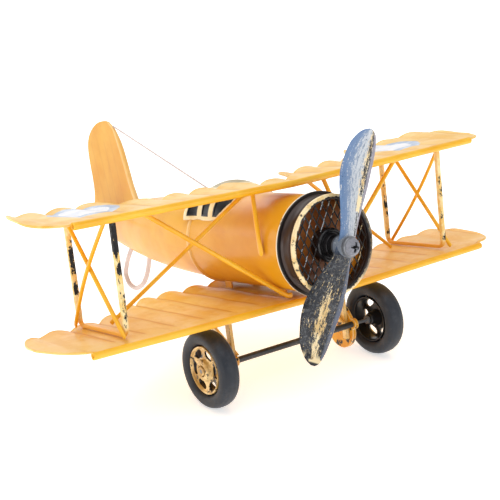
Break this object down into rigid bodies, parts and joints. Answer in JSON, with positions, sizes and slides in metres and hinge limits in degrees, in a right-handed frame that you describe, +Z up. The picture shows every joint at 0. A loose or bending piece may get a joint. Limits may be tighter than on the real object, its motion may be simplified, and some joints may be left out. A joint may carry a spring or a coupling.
{
  "type": "propeller plane model",
  "caption": "Tinplate desk model of a biplane with a turning two-blade propeller, turning wheels, braced wings and a tail skid.",
  "frame": {"origin": "middle of the footprint of the whole model, on the floor it stands on", "axes": "+X along the span, -Y towards the nose, +Z up from the floor; right_ nodes are on the +X side"},
  "size_m": [0.2902, 0.2658, 0.1377],
  "materials": {
    "yellow_paint": "satin orange-yellow paint over tinplate, paler where it is rubbed",
    "strut_paint": "yellow paint worn through to black on the faces and edges",
    "cream_paint": "satin cream paint",
    "cowl_black": "satin black paint with cream-gold rubbed rims",
    "mesh_black": "black mesh with silver and gold dry-brushed wires",
    "copper_paint": "matt copper-brown paint",
    "propeller_gunmetal": "gunmetal with silver-blue sheen and pale gold dry-brushing",
    "bright_steel": "zinc-plated steel",
    "tyre": "matt black rubber",
    "wheel_gold": "aged gold paint over black",
    "window_black": "gloss black paint",
    "pale_wire": "pale painted wire"
  },
  "bodies": {
    "root": {"aerial_eyelet": "pale_wire", "aerial_wire": "pale_wire", "axle_collars": "bright_steel", "axle_nuts": "bright_steel", "axle_rod": "bright_steel", "cabin_shell": "cream_paint", "cabin_windows": "window_black", "cowl_backing_plate": "copper_paint", "cowl_drum": "cowl_black", "cowl_front_ring": "cowl_black", "cowl_rear_flange": "cowl_black", "fin": "yellow_paint", "fin_leading_fold": "yellow_paint", "front_fuselage_shell": "yellow_paint", "fuselage_seam_bead": "yellow_paint", "fuselage_tabs": "yellow_paint", "grille_mesh": "mesh_black", "left_axle_plate": "yellow_paint", "left_brace_falling": "yellow_paint", "left_brace_rising": "yellow_paint", "left_cabane_strut": "yellow_paint", "left_cross_rod": "yellow_paint", "left_front_strut": "strut_paint", "left_leg_rear_strip": "yellow_paint", "left_leg_upright": "yellow_paint", "left_long_rod": "yellow_paint", "left_rear_strut": "strut_paint", "left_strut_foot": "yellow_paint", "lower_leading_edge": "yellow_paint", "lower_wing_skin": "yellow_paint", "motor_boss": "cowl_black", "propeller_nut": "bright_steel", "propeller_screw": "bright_steel", "propeller_washers": "bright_steel", "rear_fuselage_shell": "yellow_paint", "right_axle_plate": "yellow_paint", "right_brace_falling": "yellow_paint", "right_brace_rising": "yellow_paint", "right_cabane_strut": "yellow_paint", "right_cross_rod": "yellow_paint", "right_front_strut": "strut_paint", "right_leg_rear_strip": "yellow_paint", "right_leg_upright": "yellow_paint", "right_long_rod": "yellow_paint", "right_rear_strut": "strut_paint", "right_strut_foot": "yellow_paint", "seam_bulkhead": "yellow_paint", "spreader_tube": "cowl_black", "tail_skid": "yellow_paint", "tailplane": "yellow_paint", "upper_leading_edge": "yellow_paint", "upper_wing_skin": "yellow_paint", "windscreen": "window_black"},
    "propeller": {"propeller": "propeller_gunmetal"},
    "left_wheel": {"left_hub_cap": "wheel_gold", "left_rim": "wheel_gold", "left_tyre": "tyre"},
    "right_wheel": {"right_hub_cap": "wheel_gold", "right_rim": "wheel_gold", "right_tyre": "tyre"}
  },
  "joints": [
    {"name": "propeller_spin", "type": "hinge", "parent": "root", "child": "propeller", "pos_m": [0, -0.12701, 0.08518], "axis": [0, -0.9799, 0.1994], "continuous": true},
    {"name": "left_wheel_spin", "type": "hinge", "parent": "root", "child": "left_wheel", "pos_m": [-0.0556, -0.08498, 0.0204], "axis": [1, 0, 0], "continuous": true},
    {"name": "right_wheel_spin", "type": "hinge", "parent": "root", "child": "right_wheel", "pos_m": [0.0556, -0.08498, 0.0204], "axis": [1, 0, 0], "continuous": true}
  ]
}
